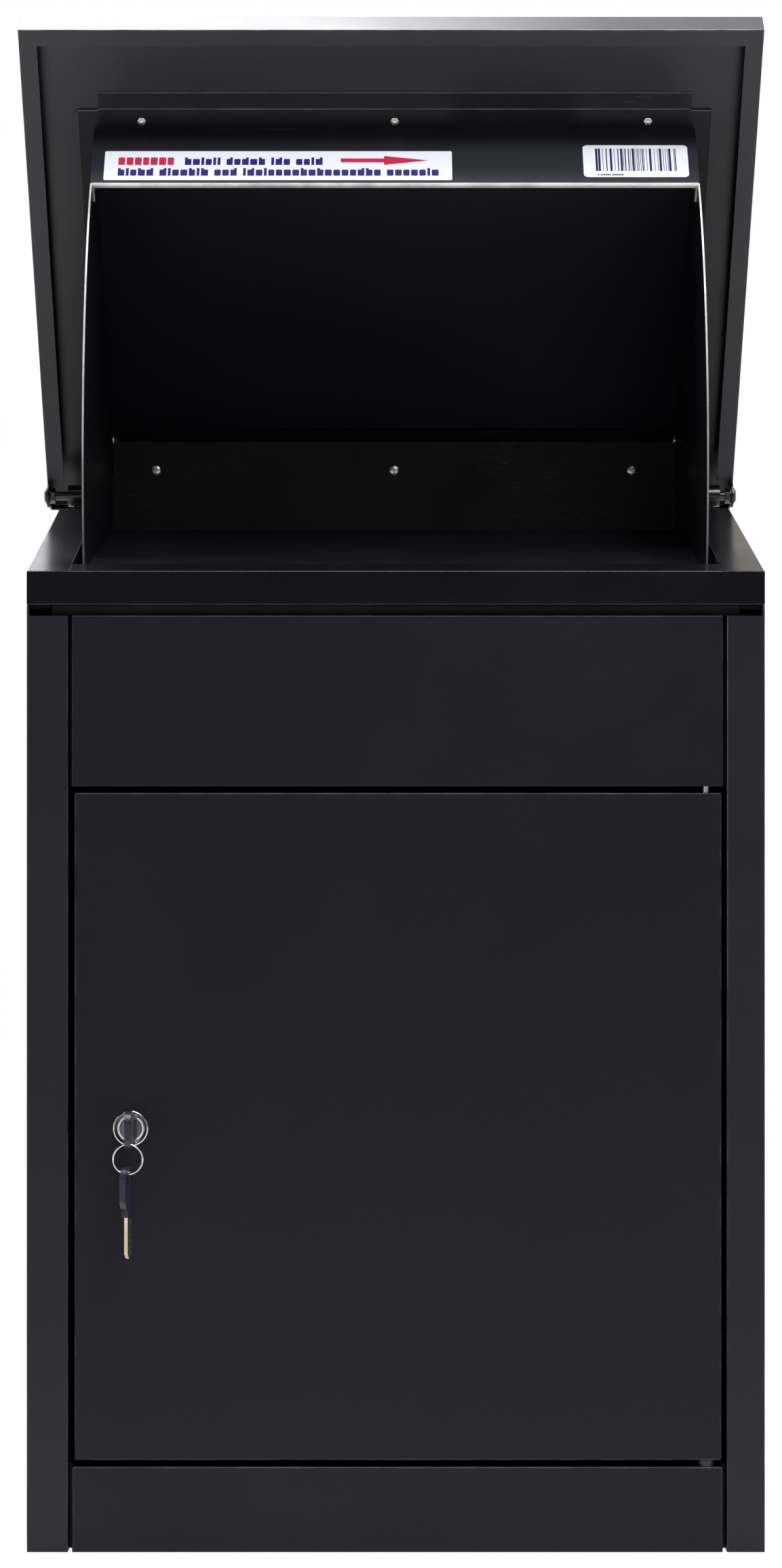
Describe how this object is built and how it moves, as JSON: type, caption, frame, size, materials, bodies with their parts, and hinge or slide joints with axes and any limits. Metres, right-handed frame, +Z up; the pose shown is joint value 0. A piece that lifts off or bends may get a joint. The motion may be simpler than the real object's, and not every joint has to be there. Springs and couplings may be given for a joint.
{
  "type": "parcel drop box",
  "caption": "Floor-standing sheet-steel parcel box with a tilting drum lid on a sloped hood and a cam-locked collection door.",
  "frame": {"origin": "centre of the base, on the floor", "axes": "+X to the right and +Y to the rear as the front is faced, +Z up"},
  "size_m": [0.4796, 0.4071, 0.9625],
  "materials": {
    "box_powder_coat": "fine-textured black powder coat",
    "front_powder_coat": "fine-textured charcoal powder coat",
    "hood_powder_coat": "satin black powder coat",
    "lid_powder_coat": "satin black powder coat",
    "drum_powder_coat": "semi-gloss black powder coat",
    "hinge_black": "gloss black",
    "zinc_hardware": "bright zinc",
    "lock_chrome": "satin chrome",
    "ring_steel": "polished spring steel",
    "key_brass": "brushed brass",
    "key_plastic": "moulded black",
    "bush_nylon": "natural black nylon",
    "label_stock": "white printed vinyl"
  },
  "bodies": {
    "cabinet": {"side_panel_left": "box_powder_coat", "side_panel_right": "box_powder_coat", "back_panel": "box_powder_coat", "base_panel": "box_powder_coat", "front_upper_panel": "front_powder_coat", "front_lower_panel": "front_powder_coat", "neck_frame": "box_powder_coat", "hood_front": "hood_powder_coat", "hood_side_left": "hood_powder_coat", "hood_side_right": "hood_powder_coat", "hood_back": "hood_powder_coat", "throat_baffle": "drum_powder_coat", "hinge_block_left": "hinge_black", "hinge_block_right": "hinge_black", "hinge_block_screws": "zinc_hardware", "door_pivot_pins": "zinc_hardware", "lock_strike": "zinc_hardware", "back_panel_rivets": "zinc_hardware"},
    "lid": {"lid_skin": "lid_powder_coat", "lid_stiffener": "lid_powder_coat", "lid_rear_rail": "lid_powder_coat", "lid_pivot_bolts": "hinge_black", "lid_pivot_nuts": "hinge_black", "drum_side_left": "drum_powder_coat", "drum_side_right": "drum_powder_coat", "drum_label_panel": "drum_powder_coat", "drum_back_panel": "drum_powder_coat", "drum_floor_panel": "drum_powder_coat", "drum_flange_nuts": "zinc_hardware", "drum_back_screws": "zinc_hardware", "drum_side_screws": "zinc_hardware", "drum_rivets": "zinc_hardware", "notice_label": "label_stock", "barcode_label": "label_stock"},
    "door": {"door_skin": "front_powder_coat", "door_stiffener": "box_powder_coat", "door_pivot_bushes": "bush_nylon", "lock_housing": "lock_chrome", "lock_nut": "zinc_hardware"},
    "lock": {"lock_plug": "lock_chrome", "lock_cam": "zinc_hardware", "cam_screw": "zinc_hardware"},
    "key": {"key_blade": "key_brass", "key_bow": "key_plastic"},
    "ring": {"key_ring": "ring_steel"},
    "spare_key": {"spare_key_blade": "key_brass", "spare_key_bow": "key_plastic"}
  },
  "joints": [
    {"name": "lid_hinge", "type": "hinge", "parent": "cabinet", "child": "lid", "pos_m": [0, 0.155, 0.6744], "axis": [1, 0, 0], "range_deg": [0, 63.6]},
    {"name": "door_hinge", "type": "hinge", "parent": "cabinet", "child": "door", "pos_m": [0.1896, -0.174, 0.26], "axis": [0, 0, 1], "range_deg": [0, 110]},
    {"name": "lock_turn", "type": "hinge", "parent": "door", "child": "lock", "pos_m": [-0.1615, -0.18, 0.2584], "axis": [0, 1, 0], "range_deg": [0, 90]},
    {"name": "key_pull", "type": "slide", "parent": "lock", "child": "key", "axis": [0, -1, 0], "range_m": [0, 0.028]},
    {"name": "ring_swing", "type": "hinge", "parent": "key", "child": "ring", "pos_m": [-0.1615, -0.2072, 0.2519], "axis": [1, 0, 0], "range_deg": [-60, 10]},
    {"name": "spare_key_swing", "type": "hinge", "parent": "ring", "child": "spare_key", "pos_m": [-0.1615, -0.2072, 0.2329], "axis": [1, 0, 0], "range_deg": [-40, 10]}
  ]
}
